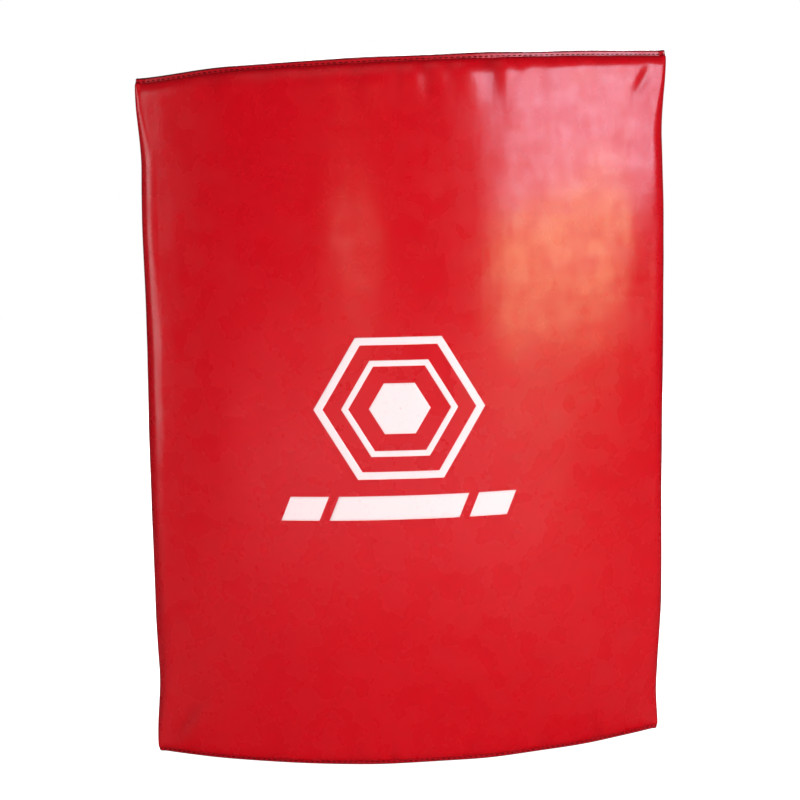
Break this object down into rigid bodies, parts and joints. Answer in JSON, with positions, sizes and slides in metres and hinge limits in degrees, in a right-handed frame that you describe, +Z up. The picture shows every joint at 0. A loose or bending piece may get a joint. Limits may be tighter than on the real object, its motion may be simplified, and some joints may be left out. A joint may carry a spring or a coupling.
{
  "type": "curved kick shield",
  "caption": "Large curved padded strike shield in glossy synthetic leather, with forearm straps, hand grips and a zip on its hollow back; stands upright on its lower end.",
  "frame": {"origin": "middle of the bottom of the whole shield, on the surface it stands on", "axes": "+Z up along the shield's height, -Y out of the striking face, +X to the right seen from the front"},
  "size_m": [0.5304, 0.2292, 0.7],
  "materials": {
    "face_skin": "glossy grained polyurethane skin",
    "end_skin": "glossy grained polyurethane skin",
    "welt_skin": "glossy turned seam",
    "back_skin": "matt grained synthetic leather",
    "patch_skin": "semi-matt synthetic leather",
    "foam_dense": "closed-cell foam",
    "foam_soft": "open-cell foam",
    "webbing": "woven nylon webbing",
    "grip_rubber": "ribbed moulded rubber",
    "zip_tape": "woven tape",
    "zip_coil": "nylon coil",
    "hardware": "nickel-plated steel"
  },
  "bodies": {
    "shield": {"front_cover": "face_skin", "back_panel": "back_skin", "top_end_panel": "end_skin", "bottom_end_panel": "end_skin", "top_welt": "welt_skin", "bottom_welt": "welt_skin", "left_rear_piping": "welt_skin", "right_rear_piping": "welt_skin", "vent_eyelets": "hardware", "strike_foam": "foam_dense", "front_core_foam": "foam_soft", "rear_core_foam": "foam_soft", "rear_foam_board": "foam_dense", "zip_left_tape": "zip_tape", "zip_right_tape": "zip_tape", "zip_coils": "zip_coil", "zip_stops": "hardware", "upper_grip_patch": "patch_skin", "upper_grip_feet": "webbing", "upper_grip_rivets": "hardware", "upper_strap_patch": "patch_skin", "upper_strap_band": "webbing", "upper_strap_pad": "patch_skin", "upper_ring_tab": "webbing", "lower_grip_patch": "patch_skin", "lower_grip_feet": "webbing", "lower_grip_rivets": "hardware", "lower_strap_patch": "patch_skin", "lower_strap_band": "webbing", "lower_strap_pad": "patch_skin", "lower_ring_tab": "webbing"},
    "upper_grip": {"upper_grip_webbing": "webbing", "upper_grip_sleeve": "grip_rubber"},
    "upper_tail": {"upper_strap_tail": "webbing"},
    "upper_ring": {"upper_strap_ring": "hardware"},
    "lower_grip": {"lower_grip_webbing": "webbing", "lower_grip_sleeve": "grip_rubber"},
    "lower_tail": {"lower_strap_tail": "webbing"},
    "lower_ring": {"lower_strap_ring": "hardware"},
    "slider": {"zip_slider": "hardware"},
    "pull": {"zip_pull": "hardware"}
  },
  "joints": [
    {"name": "upper_grip_swing", "type": "hinge", "parent": "shield", "child": "upper_grip", "pos_m": [0.11958, 0.0593, 0.475], "axis": [0, 0, 1], "range_deg": [-25, 25]},
    {"name": "upper_strap_peel", "type": "hinge", "parent": "shield", "child": "upper_tail", "pos_m": [-0.09176, 0.06821, 0.40075], "axis": [-0.9724, 0.2334, 0], "range_deg": [0, 115]},
    {"name": "upper_ring_pivot", "type": "hinge", "parent": "shield", "child": "upper_ring", "pos_m": [-0.09501, 0.05467, 0.391], "axis": [0.9724, -0.2334, 0], "range_deg": [-6, 6]},
    {"name": "lower_grip_swing", "type": "hinge", "parent": "shield", "child": "lower_grip", "pos_m": [-0.11958, 0.0593, 0.23], "axis": [0, 0, 1], "range_deg": [-25, 25]},
    {"name": "lower_strap_peel", "type": "hinge", "parent": "shield", "child": "lower_tail", "pos_m": [0.09176, 0.06821, 0.15575], "axis": [-0.9724, -0.2334, 0], "range_deg": [0, 115]},
    {"name": "lower_ring_pivot", "type": "hinge", "parent": "shield", "child": "lower_ring", "pos_m": [0.09501, 0.05467, 0.146], "axis": [0.9724, 0.2334, 0], "range_deg": [-6, 6]},
    {"name": "zip_slide", "type": "slide", "parent": "shield", "child": "slider", "axis": [0, 0, 1], "range_m": [0, 0.43]},
    {"name": "pull_turn", "type": "hinge", "parent": "slider", "child": "pull", "pos_m": [0, 0.03963, 0.1395], "axis": [1, 0, 0], "range_deg": [0, 170]}
  ]
}
